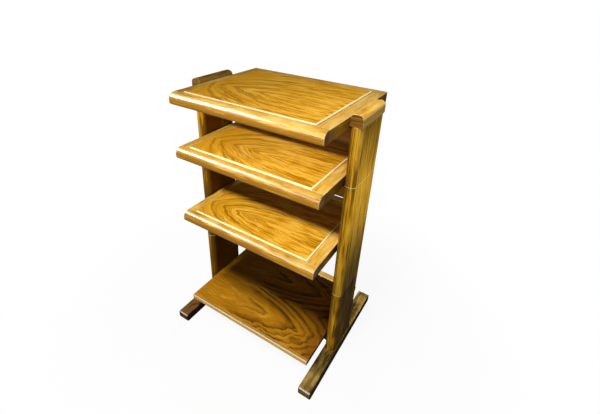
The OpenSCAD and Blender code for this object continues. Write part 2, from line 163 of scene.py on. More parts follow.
def bar_skin(run, low, high, rounds, ends, sides=(1, 1, 1, 1), stops=()):
    """Bar with eased ends, carried along the axis run from low to high.

    A station lies ease * (1 - sin phi) from its end face, and its section is
    rounded_section drawn in by ease * side * (1 - cos phi). phi goes from a quarter
    turn at the face to 0, so each end goes over in a quarter round. ends gives the
    ease of the low and of the high end, and sides scales how far the left, right,
    bottom and top face are drawn in. stops are stations between the ends.
    """
    axis, first, second = LAYOUT[run]
    section_low, section_high = (low[first], low[second]), (high[first], high[second])
    side_means = np.array([0.5 * (sides[0] + sides[1]), 0.5 * (sides[2] + sides[3])])
    stations = []
    for at, way, ease in ((low[axis], 1, ends[0]), (high[axis], -1, ends[1])):
        phi = np.linspace(0.5 * math.pi, 0, steps_for(ease) + 1)
        part = [(at + way * ease * (1 - math.sin(f)), ease, f, -way) for f in phi]
        stations.append(part if way == 1 else part[::-1])
    rows = stations[0] + [(stop, 0.0, 0.0, 1) for stop in stops] + stations[1]
    points, normals, arris = [], [], []
    for station, ease, phi, way in rows:
        drawn_in = [ease * side * (1 - math.cos(phi)) for side in sides]
        flat, out, round_share = rounded_section(section_low, section_high, rounds, drawn_in)
        tilt = np.column_stack([way * (np.abs(out) @ side_means) * math.sin(phi), out * math.cos(phi)])
        if math.cos(phi) < 1e-6:
            tilt = np.tile([float(way), 0.0, 0.0], (len(out), 1))
        place, normal = np.empty((len(flat), 3)), np.empty((len(flat), 3))
        place[:, LAYOUT[run]] = np.column_stack([np.full(len(flat), station), flat])
        normal[:, LAYOUT[run]] = tilt / np.linalg.norm(tilt, axis=1)[:, None]
        points.append(place)
        normals.append(normal)
        arris.append(np.maximum(round_share * math.cos(phi), math.sin(2 * phi) * (0 < ease <= ARRIS)))
    columns = len(points[0])
    flip = run == "y"
    skin = Skin()
    quads = grid_faces(len(rows), columns, flip)
    skin.add(np.concatenate(points), quads, np.concatenate(normals), np.concatenate(arris))
    for row, way in ((0, -1.0), (-1, 1.0)):
        normal = np.zeros((columns, 3))
        normal[:, axis] = way
        face = np.arange(columns)
        if (way < 0) != flip:
            face = face[::-1]
        skin.add(points[row], [face], normal)
    return skin


def place_piece(name, skin, grain, finish, replaced=(), centre=None, lot=0, shade=NO_PAINTED_SHADE, flat=False):
    """Puts a skin into the scene and notes how its wood grows.

    The attribute grain holds (along, across, through) the wood, measured from
    centre; lot sets the piece elsewhere in the tree, so no two look the same, but
    leaves the figure of a flat face where it is. shade = (whole, x, y, z) lightens
    (above 0) or darkens (below 0) the colour of each face by which way it faces:
    whole + x * |normal x| + y * |normal y| + z * normal z, and a fifth number is
    the share of a face that looks at the middle of the stand. This is painted light
    and shade: tops lighter, and sides, undersides and faces turned to the middle of
    the stand darker; whole also shifts the tone of the piece as a whole.
    """
    mesh = skin.mesh(name, GRAIN[grain][0])
    tone = mesh.attributes.new("shade", "FLOAT", "POINT")
    facing = np.zeros(len(mesh.vertices) * 3)
    mesh.vertices.foreach_get("normal", facing)
    facing = facing.reshape(-1, 3)
    place = np.zeros(len(mesh.vertices) * 3)
    mesh.vertices.foreach_get("co", place)
    place = place.reshape(-1, 3)
    # Painted light and shade by which way each face looks, on top of the piece's tone
    tone_and_shade = shade[0] + np.abs(facing[:, :2]) @ np.array(shade[1:3]) + shade[3] * facing[:, 2]
    if len(shade) > 4:
        tone_and_shade += shade[4] * np.maximum(-facing[:, 0] * np.sign(place[:, 0].mean()), 0)
    tone.data.foreach_set("value", tone_and_shade.astype(np.float32))
    piece = bpy.data.objects.new(name, mesh)
    scene.collection.objects.link(piece)
    centre = 0.5 * (place.min(0) + place.max(0)) if centre is None else np.array(centre)
    if flat:
        shift = np.array([0.0, 0.0, LOT_THROUGH * lot])
    else:
        shift = np.array([LOT_ALONG * lot, 0.021 * math.sin(2.4 * lot), 0.034 * math.sin(1.7 * lot)])
    in_tree = (place - centre)[:, GRAIN[grain]] + shift
    layer = mesh.attributes.new("grain", "FLOAT_VECTOR", "POINT")
    layer.data.foreach_set("vector", in_tree.astype(np.float32).ravel())
    mesh.materials.append(finish)
    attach(piece, "root")
    if replaced:
        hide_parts(*replaced)
    return piece


# ---- Finishes ---------------------------------------------------------------

class Value:
    """An output socket that can be reckoned with: sums add Math nodes."""

    def __init__(self, finish, socket):
        self.finish, self.socket = finish, socket

    def __add__(self, other):
        return self.finish.sum("ADD", self, other)

    def __radd__(self, other):
        return self.finish.sum("ADD", other, self)

    def __sub__(self, other):
        return self.finish.sum("SUBTRACT", self, other)

    def __rsub__(self, other):
        return self.finish.sum("SUBTRACT", other, self)

    def __mul__(self, other):
        return self.finish.sum("MULTIPLY", self, other)

    def __rmul__(self, other):
        return self.finish.sum("MULTIPLY", other, self)

    def __truediv__(self, other):
        return self.finish.sum("DIVIDE", self, other)

    def __pow__(self, other):
        return self.finish.sum("POWER", self, other)


class Finish:
    """A material, or the world, in the making."""

    def __init__(self, made):
        made.use_nodes = True
        self.made, self.tree = made, made.node_tree
        self.tree.nodes.clear()

    def put(self, kind, settings=(), inputs=(), output=0):
        """Adds a node, its settings first, then its sockets; returns one output."""
        node = self.tree.nodes.new(kind)
        for key, value in dict(settings).items():
            if key == "stops":
                while len(node.color_ramp.elements) < len(value):
                    node.color_ramp.elements.new(1.0)
                for stop, (where, colour) in zip(node.color_ramp.elements, value):
                    stop.position, stop.color = where, (*colour, 1.0)
            else:
                setattr(node, key, value)
        for key, value in dict(inputs).items():
            if isinstance(value, Value):
                self.tree.links.new(value.socket, node.inputs[key])
            else:
                node.inputs[key].default_value = value
        return Value(self, node.outputs[output]) if len(node.outputs) else node

    def sum(self, operation, *values, clamp=False):
        """Any operation of a Math node, on sockets or numbers."""
        settings = {"operation": operation, "use_clamp": clamp}
        return self.put("ShaderNodeMath", settings, dict(enumerate(values)))

    def vector(self, x, y, z):
        """A place from its three parts, sockets or numbers."""
        return self.put("ShaderNodeCombineXYZ", {}, {"X": x, "Y": y, "Z": z})

    def attribute(self, name, output="Fac"):
        """A value that the piece's mesh holds at each point."""
        return self.put("ShaderNodeAttribute", {"attribute_name": name}, {}, output)

    def noise(self, place, detail=2.0, roughness=0.5, scale=1.0):
        """Smooth noise about 0.5 of a place whose unit is one blotch."""
        inputs = {"Vector": place, "Scale": scale, "Detail": detail, "Roughness": roughness}
        return self.put("ShaderNodeTexNoise", {"noise_dimensions": "3D"}, inputs, "Fac")

    def step(self, value, low, high, to_low=0.0, to_high=1.0):
        """Eases from to_low to to_high as value goes from low to high."""
        inputs = {"Value": value, "From Min": low, "From Max": high, "To Min": to_low, "To Max": to_high}
        return self.put("ShaderNodeMapRange", {"interpolation_type": "SMOOTHSTEP"}, inputs)

    def blend(self, share, first, second):
        """Mixes two colours by a share from 0 to 1."""
        inputs = {"Factor": share, 6: first, 7: second}
        return self.put("ShaderNodeMix", {"data_type": "RGBA"}, inputs, 2)

    def surface(self, shader, kind="ShaderNodeOutputMaterial"):
        """Ends it with its shader and returns what was made."""
        self.put(kind, {}, {"Surface": shader})
        return self.made


def rgb(red, green, blue):
    """A colour as a socket takes it, with its alpha."""
    return (red, green, blue, 1.0)


def late_stops(rings, reach):
    """Stops of a ramp over 0 to reach that darkens at each ring.

    A ring is (radius, width, strength): the dark rises slowly over one width on the
    inside, and falls away in about a third of that on the outside.
    """
    clear = (0, 0, 0)
    stops = [(0.0, clear)]
    for radius, width, strength in rings:
        stops += [((radius - width) / reach, clear), (radius / reach, (strength, strength, strength)),
                  ((radius + 0.35 * width) / reach, clear)]
    return stops


def wood(name, pale, body, dark, line, *, pith=(0.0, -0.2), heart=None, way=1.0, point=2.0, leaf=None,
         rings=(), band=(0.011, 0.7), streak=(0.0032, 0.8), thread=(0.0013, 0.5), short=1.0, fine=0.5,
         sway=(0.004, 0.12), jag=(0.0015, 0.03), calm=0.35, falloff_shade=0.0, faint=0.4, coat=0.3, gloss=0.12,
         wear_and_glint=None, wear_and_glint_show=0.35, on_object=None):
    """Oiled or lacquered timber, cut out of a modelled tree.

    A point's distance from the pith is (|u|^point + |v|^point)^(1/point), where u is
    its distance across. Two leaves of veneer are folded about their seam, with leaf =
    (seam, distance from it to the middle of a leaf). v is the point's depth below the
    heart, or, for a flat face with heart = (depth, length), depth * exp(way * along /
    length): that face shows straight grain where v is small and nested tongues where
    it is large. sway and jag, each (amount, length), bend the lines slowly and quickly.

    Soft bands, streaks and threads, each (width, strength), follow that distance, and
    short is how soon they end along the wood. calm is the share of them that stays
    where the tongues are, and falloff_shade is how much darker it is there: partly the
    wood's own darker tone, partly painted shade standing in for light that falls off
    across the face. rings are dark lines in the same distance, and faint is the share
    of them in the straight grain.
    Hair-fine fibres, as strong as fine, and pores follow the length of the wood.

    The colours go from pale over body to dark, and line is that of rings, pores and
    end grain. At an arris the wood turns to the colour wear_and_glint, by the share
    wear_and_glint_show: partly wear from hands, partly a painted highlight where light
    catches the small round. coat is the weight of the lacquer and gloss the wood's own
    shine.
    A piece without the attribute grain reads its Object coordinates instead, with
    on_object saying which of X, Y and Z run along, across and through the wood.
    """
    f = Finish(bpy.data.materials.new(name))
    dressed = on_object is None
    source = f.attribute("grain", "Vector") if dressed else f.put("ShaderNodeTexCoord", {}, {}, "Object")
    parts = f.put("ShaderNodeSeparateXYZ", {}, {"Vector": source})
    sockets = parts.socket.node.outputs
    along, across, through = (Value(f, sockets[k]) for k in (on_object or ("X", "Y", "Z")))

    # Distance from the pith. The noises' places are in blotches, fewer along the wood than across it.
    amount, length = sway
    small, brief = jag
    slow_place = f.vector(along / length, across * (2.2 / length), through * (2.2 / length))
    slow = f.noise(slow_place) - 0.5
    quick_place = f.vector(along / brief, across * (1.6 / brief) + 2.1, through * (1.6 / brief))
    quick = f.noise(quick_place, 2.0, 0.55) - 0.5
    u = across - pith[0]
    if leaf is not None:
        seam, middle = leaf
        u = f.sum("ABSOLUTE", u - seam) - middle
    u = f.sum("ABSOLUTE", u + 2.0 * amount * slow + 2.0 * small * quick)
    if heart is None:
        v = f.sum("ABSOLUTE", through - pith[1] + 2.0 * amount * slow)
    else:
        depth, fall = heart
        v = f.sum("EXPONENT", (along + 6.0 * amount * slow + 6.0 * small * quick) * (way / fall)) * depth
    radius = (u ** point + v ** point) ** (1 / point)

    # Stripes that follow that distance, and what follows only the length of the wood
    (band_width, bands), (streak_width, streaks), (thread_width, threads) = band, streak, thread
    wide = f.noise(f.vector(radius / band_width, along * (5 * short), through * 9), 2.0, 0.45)
    thin_place = f.vector(radius / streak_width + 3.1, along * (12 * short), through * (30 * short))
    thin = f.noise(thin_place, 2.0, 0.6)
    thready_place = f.vector(radius / thread_width + 8.4, along * (22 * short), through * (60 * short))
    thready = f.noise(thready_place, 1.0, 0.5)
    hair = f.noise(f.vector(along * 18, across * 900, through * 900), 2.0, 0.6)
    cloud = f.noise(f.vector(along * 8, across * 15, through * 15))
    pore = f.step(f.noise(f.vector(along * 160, across * 2600, through * 2600), 1.0, 0.5), 0.62, 0.74)

    # Their sum is the tone: 0 is dark, 0.5 body and 1 pale
    tone = (wide - 0.5) * (2 * bands) + (thin - 0.5) * (2 * streaks) + (thready - 0.5) * (2 * threads)
    if heart is not None:
        tone = tone * f.step(v, 1.5 * depth, 4.0 * depth, 1.0, calm)
    tone = tone + (hair - 0.5) * fine + (cloud - 0.5) * 0.5
    # Darker where the tongues are: partly tone, partly painted shade of light falling off across the face
    if heart is not None:
        tone = tone - f.step(v, 0.4 * rings[-1][0], 1.2 * rings[-1][0], 0.0, falloff_shade)
    if dressed:
        tone = tone + f.attribute("shade")
    tone = f.sum("ADD", tone, 0.5, clamp=True)
    colour = f.blend(f.step(tone, 0.5, 1.0), body, pale)
    colour = f.blend(f.step(tone, 0.5, 0.0), colour, dark)
    height = (hair - 0.5) * 0.3 + (thin - 0.5) * 0.2 - pore * 0.8

    # Dark rings, pores, end grain and rubbed arrises lie over that colour
    if rings:
        reach = 1.1 * rings[-1][0]
        ramp = {"stops": late_stops(rings, reach)}
        late = f.put("ShaderNodeValToRGB", ramp, {"Fac": radius / reach}, "Color")
        fade = f.noise(f.vector(along * 14, across * 20, through * 20 + 5.0))
        late = late * f.step(fade, 0.3, 0.6, 0.5, 1.0) * f.step(v, 0.1 * reach, 0.2 * reach, faint, 1.0)
        colour = f.blend(f.sum("ADD", late, 0.0, clamp=True), colour, line)
        height = height - late * 0.25
    colour = f.blend(pore * 0.3, colour, line)
    if dressed:
        ends = f.step(thin, 0.35, 0.6, 0.85, 0.45) * f.step(f.attribute("cut"), 0.3, 0.95)
        colour = f.blend(ends, colour, line)
    # Small rounds go paler: partly wear from hands, partly a painted highlight where light catches them
    if wear_and_glint is not None:
        pale_arris_share = f.step(f.attribute("arris") + (cloud - 0.5) * 0.5, 0.15, 0.8, 0.0, wear_and_glint_show)
        colour = f.blend(pale_arris_share, colour, wear_and_glint)

    roughness = f.step(tone, 0.2, 0.9, 0.45, 0.3)
    bump = f.put("ShaderNodeBump", {}, {"Height": height, "Strength": 0.22, "Distance": 0.0003})
    shader = f.put("ShaderNodeBsdfPrincipled", {}, {
        "Base Color": colour, "Roughness": roughness, "Normal": bump,
        "Coat Weight": coat, "Coat Roughness": 0.2, "Specular IOR Level": gloss})
    return f.surface(shader)


def metal(name, colour, stain, rough):
    """Turned or plated steel: fine grit, and dull patches in the colour of stain.

    rough is how rough it is where it is bright and where it is dull.
    """
    f = Finish(bpy.data.materials.new(name))
    place = f.put("ShaderNodeTexCoord", {}, {}, "Object")
    patch = f.noise(place, 3.0, 0.6, 140.0)
    grit = f.noise(place, 2.0, 0.7, 1800.0)
    tint = f.blend(f.step(patch, 0.45, 0.7), colour, stain)
    roughness = f.step(patch, 0.3, 0.7, rough[0], rough[1])
    bump = f.put("ShaderNodeBump", {}, {"Height": grit, "Strength": 0.25, "Distance": 0.0001})
    shader = f.put("ShaderNodeBsdfPrincipled", {}, {
        "Base Color": tint, "Roughness": roughness, "Metallic": 1.0, "Normal": bump})
    return f.surface(shader)


# Rings as (radius from the heart line, width, strength)
PANEL_RINGS = [(0.0150, 0.005, 0.3), (0.0244, 0.005, 0.5), (0.0360, 0.007, 0.6), (0.0734, 0.011, 0.85),
               (0.1130, 0.012, 0.8), (0.1550, 0.013, 0.7)]
BOARD_RINGS = [(0.0447, 0.010, 1.0), (0.0815, 0.013, 1.0), (0.0980, 0.007, 0.8), (0.1150, 0.011, 1.0),
               (0.1370, 0.008, 0.9), (0.1620, 0.011, 1.0)]

panel_wood = wood(
    "lacquered_teak_panel", pale=rgb(0.80, 0.44, 0.05), body=rgb(0.64, 0.30, 0.010),
    dark=rgb(0.40, 0.165, 0.003), line=rgb(0.25, 0.095, 0.003), pith=(-0.050, 0.0),
    heart=(0.020, 0.100), way=-1.0, point=1.1, rings=PANEL_RINGS, band=(0.013, 1.6),
    # The panels darken a little where their tongues are: partly tone, partly painted shade
    streak=(0.0046, 1.6), thread=(0.0019, 1.5), sway=(0.007, 0.12), jag=(0.0045, 0.030), falloff_shade=0.10,
    # Its pale rounded upper edges are a painted highlight along the raised panel's edges, partly wear
    wear_and_glint=rgb(0.88, 0.72, 0.38), wear_and_glint_show=1.0, coat=0.1, gloss=0.06)
frame_wood = wood(
    "lacquered_teak_frame", pale=rgb(0.88, 0.56, 0.14), body=rgb(0.70, 0.38, 0.05),
    dark=rgb(0.38, 0.17, 0.008), line=rgb(0.24, 0.085, 0.003), pith=(0.05, -0.16), band=(0.012, 0.8),
    streak=(0.0036, 0.6), thread=(0.0016, 0.6), sway=(0.004, 0.16),
    wear_and_glint=rgb(0.92, 0.66, 0.26), coat=1.0)
# Its dark colour is also where the painted shade on the posts' inner faces ends up
post_wood = wood(
    "oiled_teak_post", pale=rgb(0.80, 0.46, 0.035), body=rgb(0.60, 0.285, 0.010),
    dark=rgb(0.22, 0.108, 0.007), line=rgb(0.13, 0.055, 0.005), pith=(0.15, -0.20), band=(0.006, 0.6),
    streak=(0.0030, 1.2), thread=(0.0016, 1.5), short=0.5, fine=0.8, sway=(0.003, 0.3),
    # Its pale block edges are a painted highlight on the seams, partly wear
    jag=(0.0008, 0.06), wear_and_glint=rgb(0.95, 0.72, 0.30), wear_and_glint_show=0.9, coat=0.08, gloss=0.03)
cap_wood = wood(
    "oiled_teak_cap", pale=rgb(0.86, 0.52, 0.11), body=rgb(0.68, 0.37, 0.045),
    dark=rgb(0.36, 0.15, 0.01), line=rgb(0.12, 0.04, 0.003), pith=(0.02, -0.3), band=(0.008, 0.7),
    streak=(0.0030, 1.1), sway=(0.003, 0.12), wear_and_glint=rgb(0.92, 0.72, 0.36), coat=0.15)
FOOT_FIGURE = dict(
    line=rgb(0.03, 0.015, 0.004), pith=(0.03, -0.15), band=(0.008, 1.2), streak=(0.0034, 1.3),
    thread=(0.0012, 0.5), wear_and_glint_show=0.9, coat=0.0, gloss=0.03)
foot_wood = {
    "left": wood(
        "dark_foot_left", pale=rgb(0.22, 0.10, 0.028), body=rgb(0.11, 0.046, 0.011),
        dark=rgb(0.04, 0.015, 0.004), wear_and_glint=rgb(0.95, 0.86, 0.78), **FOOT_FIGURE),
    "right": wood(
        "dark_foot_right", pale=rgb(0.52, 0.33, 0.085), body=rgb(0.24, 0.152, 0.033),
        dark=rgb(0.06, 0.038, 0.009), wear_and_glint=rgb(0.92, 0.86, 0.76), **FOOT_FIGURE)}
veneer = wood(
    "figured_veneer", pale=rgb(0.70, 0.35, 0.03), body=rgb(0.46, 0.19, 0.004),
    dark=rgb(0.27, 0.10, 0.003), line=rgb(0.075, 0.026, 0.003), pith=(0.0, 0.0),
    heart=(0.0385, 0.200), way=1.0, point=1.25, leaf=(-0.028, 0.086), rings=BOARD_RINGS,
    band=(0.030, 0.7), streak=(0.006, 0.3), thread=(0.002, 0.5), sway=(0.008, 0.10),
    # The board darkens towards its right end: painted shade of light falling off across it
    jag=(0.0100, 0.040), falloff_shade=1.2, faint=0.15, wear_and_glint=rgb(0.8, 0.5, 0.16), coat=0.2)
lip_wood = wood(
    "pale_lipping", pale=rgb(0.93, 0.62, 0.19), body=rgb(0.88, 0.52, 0.10),
    dark=rgb(0.5, 0.25, 0.03), line=rgb(0.35, 0.16, 0.02), pith=(0.03, -0.2),
    # Its pale top arris is a painted highlight, partly wear
    wear_and_glint=rgb(0.98, 0.80, 0.48), wear_and_glint_show=0.9, coat=0.05)
rail_wood = wood(
    "teak_rail", pale=rgb(0.5, 0.24, 0.03), body=rgb(0.36, 0.155, 0.014),
    dark=rgb(0.22, 0.085, 0.007), line=rgb(0.1, 0.04, 0.004), pith=(0.05, 0.3),
    on_object=("X", "Y", "Z"))
beech = wood(
    "beech_dowel", pale=rgb(0.8, 0.58, 0.34), body=rgb(0.68, 0.46, 0.24), dark=rgb(0.5, 0.3, 0.14),
    line=rgb(0.35, 0.2, 0.09), pith=(0.1, 0.1), coat=0.0, on_object=("Z", "X", "Y"))
steel = metal("bright_steel", rgb(0.56, 0.57, 0.58), rgb(0.42, 0.42, 0.42), (0.22, 0.4))
zinc = metal("zinc_steel", rgb(0.5, 0.5, 0.49), rgb(0.34, 0.34, 0.33), (0.35, 0.6))


# ---- Pieces -------------------------------------------------------------------

# Round of the feet's toes, and of their long edges
FOOT_TOE, FOOT_EDGE = 8 * MM, 3 * MM
# Radius of the counterbores in the soles, and how many points go round one
SINK, SINK_POINTS = 11 * MM, 64
# Thickness of the washers at the counterbores' seats
WASHER = 1.6 * MM
# Eased edge at the top and bottom of each post block, which shows as a seam
POST_BEVEL = 1.2 * MM
# Round along both sides of a cap's crown, and of its other edges
CAP_CROWN, CAP_EDGE = 13 * MM, 2 * MM
# Upper and lower round of the nosings
NOSING_TOP, NOSING_LOW = 20 * MM, 8 * MM
# Round of a frame's outer edges, and of the edges where two of its pieces meet
FRAME_EDGE, FRAME_JOINT = 2.5 * MM, 1 * MM
# Panel: round of its upper edges, of its lower edges and of its corners, and its gap in the frame
PANEL_TOP, PANEL_LOW, PANEL_CORNER, PANEL_GAP = 4 * MM, 0.5 * MM, 1.5 * MM, 0.1 * MM
# Bottom shelf: round of the lipping and of the sharp edges
LIP_ROUND, BOARD_EDGE = 3.5 * MM, 0.5 * MM
# Bead on the bottom shelf's back rail: its width, its upper and lower round, and how far it goes in
BEAD_WIDTH, BEAD_TOP, BEAD_LOW, BEAD_SUNK = 6 * MM, 3 * MM, 0.2 * MM, 1 * MM

# Painted light and shade on the pieces' faces, with their tone as a whole, as place_piece takes it
# Feet: painted shade on their sides, painted light on their toe ends
FOOT_PAINTED_SHADE = (0, -1.2, 0.5, 0.1)
# Caps: the right one's sides paler, painted light from the right
CAP_PAINTED_LIGHT = {"left": NO_PAINTED_SHADE, "right": (-0.1, 0.6, 0, 0)}
# Frame pieces: painted shade on the nosing fronts, sides and undersides, tops a little lighter
FRAME_PAINTED_SHADE = (-0.45, -0.2, -0.15, 0.5)
# Panels: painted shade on their undersides, which face the shelf below, and a darker tone
PANEL_PAINTED_SHADE = (-0.3, 0, 0, 0.35)
# Lipping: its top darker, like the veneer beside it, and its front paler, painted light
LIP_TONE_AND_LIGHT = (0, 0, 0.4, -0.9)
# The bottom shelf's back rail lighter as a whole: painted light where it sits in the shade of the shelves
# above
BOTTOM_BACK_PAINTED_LIGHT = (0.3, 0, 0, 0)

FRAMED = ("top", "second", "third")
# Where the middle of each panel's figure lies in X and Y
PANEL_FIGURE = {"top": (0, 0), "second": (0.02, -0.03), "third": (-0.02, -0.045)}


def corners(node):
    """A node's lowest and highest corner, as arrays."""
    low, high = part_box(node)
    return np.array(low), np.array(high)


def plain_bar(name, run, low, high, rounds, ends, finish, node, grain=None, sides=(1, 1, 1, 1),
              centre=None, lot=0, shade=NO_PAINTED_SHADE, flat=False):
    """A bar that stands for one node; its grain follows its run unless grain is given."""
    skin = bar_skin(run, low, high, rounds, ends, sides)
    return place_piece(name, skin, grain or run, finish, [node], centre, lot, shade, flat)


def foot_skin(low, high):
    """Runner foot, carried across from side to side, with the tie rod's counterbore.

    The sole is split at the middle of the post, and each half goes round half of the
    bore's mouth, mouth = centre + radius * (cos t, sin t). The bore rises straight
    from the mouth to its seat, a flat disc.
    """
    rod_low, rod_high = corners("tie_rod_right")
    middle = 0.5 * (rod_low[0] + rod_high[0]) * (1 if low[0] > 0 else -1)
    seat_height = corners("tie_rod_washers")[0][2] + WASHER
    rounds = [FOOT_TOE] * 4
    skin = bar_skin("x", low, high, rounds, (FOOT_EDGE, FOOT_EDGE), (1, 1, 0.4, 1), stops=(middle,))

    # The sole's two quads beside the middle make room for the halves. The sole runs from the last
    # point of the first round to the first point of the second.
    near = steps_for(FOOT_TOE)
    far = near + 1
    columns = len(rounds) * far
    grid = skin.points[0].reshape(-1, columns, 3)
    row = len(grid) // 2 - 1
    sole = [{(row + i) * columns + near, (row + i) * columns + far,
             (row + i + 1) * columns + near, (row + i + 1) * columns + far} for i in (0, 1)]
    skin.faces = [face for face in skin.faces if set(face) not in sole]
    turn = np.linspace(0.5 * math.pi, 2.5 * math.pi, SINK_POINTS + 1)[:-1]
    ring = np.stack([np.cos(turn), np.sin(turn), np.zeros(SINK_POINTS)], 1)
    mouth = np.array([middle, 0.0, low[2]]) + SINK * ring
    half = SINK_POINTS // 2
    first = [grid[row, far], grid[row + 1, far], *mouth[:half + 1], grid[row + 1, near], grid[row, near]]
    second = [grid[row + 1, far], grid[row + 2, far], grid[row + 2, near], grid[row + 1, near],
              *mouth[half:], mouth[0]]
    for outline in (first, second):
        skin.add(np.array(outline), [range(len(outline))], np.tile([0.0, 0.0, -1.0], (len(outline), 1)))
    seat = mouth + np.array([0, 0, seat_height])
    k = np.arange(SINK_POINTS)
    beside = (k + 1) % SINK_POINTS
    wall = np.stack([k, k + SINK_POINTS, beside + SINK_POINTS, beside], 1)
    skin.add(np.concatenate([mouth, seat]), wall, np.tile(-ring, (2, 1)))
    skin.add(seat, [k[::-1]], np.tile([0.0, 0.0, -1.0], (SINK_POINTS, 1)))

    # Only the upper rounds of the toes take the pale arris colour: a painted highlight where the light
    # catches them
    skin.arris[0] = np.clip(3 * np.abs(skin.normals[0][:, 1]) * skin.normals[0][:, 2] - 0.9, 0, 1)
    return skin


def dress_side(side, way, lot):
    """Foot, post blocks and cap of one side; way is -1 on the left and 1 on the right."""
    low, high = corners(f"foot_{side}")
    place_piece(f"foot_{side}_runner", foot_skin(low, high), "y", foot_wood[side],
                [f"foot_{side}"], lot=lot, shade=FOOT_PAINTED_SHADE)
    # Painted light and shade of each block as a whole, at its sides and at its front and back: darker
    # towards the bottom and lighter at the top, the left middle block darker as painted shade in its bay,
    # and the faces turned to the middle of the stand darker still (-1.2), painted shade between the posts
    for level, whole, beside, ahead in (("lower", -0.33, -0.1, 0.2),
                                        ("middle", -0.26 + 0.38 * way, 0.1, 0.05),
                                        ("upper", 0.28, -0.05, -0.05)):
        low, high = corners(f"{level}_post_{side}")
        half_round = 0.5 * (high[0] - low[0])
        plain_bar(f"{level}_post_{side}_block", "z", low, high, [half_round] * 4, (POST_BEVEL, POST_BEVEL),
                  post_wood, f"{level}_post_{side}", centre=(0.5 * (low[0] + high[0]), 0, 0),
                  lot=0.3 * way, shade=(whole, beside, ahead, 0, -1.2))
    low, high = corners(f"cap_{side}")
    plain_bar(f"cap_{side}_crown", "y", low, high, [CAP_EDGE, CAP_EDGE, CAP_CROWN, CAP_CROWN],
              (CAP_EDGE, CAP_EDGE), cap_wood, f"cap_{side}", sides=(0.5, 0.5, 0.25, 1),
              lot=lot + 3, shade=CAP_PAINTED_LIGHT[side])


def dress_framed_shelf(level, number, lot):
    """Nosing, back rail, side rails and raised panel, each up to the face of the next."""
    nose_low, nose_high = corners(f"{level}_shelf_nosing")
    back_low, back_high = corners(f"{level}_shelf_back_rail")
    plain_bar(f"{level}_shelf_nosing_edge", "x", nose_low, nose_high,
              [NOSING_LOW, FRAME_JOINT, FRAME_JOINT, NOSING_TOP], (FRAME_EDGE, FRAME_EDGE), frame_wood,
              f"{level}_shelf_nosing", sides=(1, 0.2, 1, 1), lot=lot, shade=FRAME_PAINTED_SHADE)
    plain_bar(f"{level}_shelf_back_edge", "x", back_low, back_high,
              [FRAME_JOINT, FRAME_EDGE, FRAME_EDGE, FRAME_JOINT], (FRAME_EDGE, FRAME_EDGE), frame_wood,
              f"{level}_shelf_back_rail", sides=(0.2, 1, 1, 1), lot=lot + 1, shade=FRAME_PAINTED_SHADE)

    left_low, left_high = corners(f"{level}_shelf_left_rail")
    right_low, right_high = corners(f"{level}_shelf_right_rail")
    left_low[0], right_high[0] = nose_low[0], nose_high[0]
    left_rounds = [FRAME_EDGE, FRAME_JOINT, FRAME_JOINT, FRAME_EDGE]
    right_rounds = [FRAME_JOINT, FRAME_EDGE, FRAME_EDGE, FRAME_JOINT]
    for side, low, high, rounds, side_lot in (("left", left_low, left_high, left_rounds, lot + 2),
                                              ("right", right_low, right_high, right_rounds, lot + 3)):
        low[1:] = nose_high[1], nose_low[2]
        high[1:] = back_low[1], nose_high[2]
        plain_bar(f"{level}_shelf_{side}_edge", "y", low, high, rounds, (FRAME_JOINT, FRAME_JOINT),
                  frame_wood, f"{level}_shelf_{side}_rail", lot=side_lot, shade=FRAME_PAINTED_SHADE)

    low, high = corners(f"{level}_shelf_panel")
    low[:2] = left_high[0] + PANEL_GAP, nose_high[1] + PANEL_GAP
    high[:2] = right_low[0] - PANEL_GAP, back_low[1] - PANEL_GAP
    plain_bar(f"{level}_shelf_field", "z", low, high, [PANEL_CORNER] * 4, (PANEL_LOW, PANEL_TOP),
              panel_wood, f"{level}_shelf_panel", grain="x", sides=(0.4, 1.3, 1.3, 1.5),
              centre=(*PANEL_FIGURE[level], high[2]), lot=number, shade=PANEL_PAINTED_SHADE, flat=True)


def dress_bottom_shelf(lot):
    """Veneered board between its lipping and its back rail, with the bead on that rail."""
    board_low, board_high = corners("bottom_shelf_board")
    lip_low, lip_high = corners("bottom_shelf_lipping")
    back_low, back_high = corners("bottom_shelf_back_rail")
    bead_low = np.array([back_low[0], back_low[1], board_high[2] - BEAD_SUNK])
    bead_high = np.array([back_high[0], back_low[1] + BEAD_WIDTH, back_high[2]])
    board_low[1], board_high[1] = lip_high[1], back_low[1]
    back_high[2] = board_high[2]
    ends = (BOARD_EDGE, BOARD_EDGE)
    plain_bar("bottom_shelf_figured_board", "x", board_low, board_high, [BOARD_EDGE] * 4, ends, veneer,
              "bottom_shelf_board", centre=(0, 0, board_high[2]), flat=True)
    plain_bar("bottom_shelf_lip", "x", lip_low, lip_high, [LIP_ROUND, FRAME_JOINT, FRAME_JOINT, LIP_ROUND],
              ends, lip_wood, "bottom_shelf_lipping", lot=lot, shade=LIP_TONE_AND_LIGHT)
    plain_bar("bottom_shelf_back_edge", "x", back_low, back_high,
              [FRAME_JOINT, FRAME_EDGE, FRAME_EDGE, FRAME_JOINT], ends, frame_wood,
              "bottom_shelf_back_rail", lot=lot + 1, shade=BOTTOM_BACK_PAINTED_LIGHT)
    bead = bar_skin("x", bead_low, bead_high, [BEAD_LOW, BEAD_LOW, BEAD_TOP, BEAD_TOP], ends)
    # The bead takes the pale lipping wood, partly painted light on this rail in the shade of the shelves
    # above
    place_piece("bottom_shelf_bead", bead, "x", lip_wood, lot=lot + 2)


# Lots are counted on in fours, one side or one framed shelf after the other
dress_side("left", -1, lot=1)
dress_side("right", 1, lot=5)
for number, level in enumerate(FRAMED):
    dress_framed_shelf(level, number, lot=9 + 4 * number)
dress_bottom_shelf(lot=21)

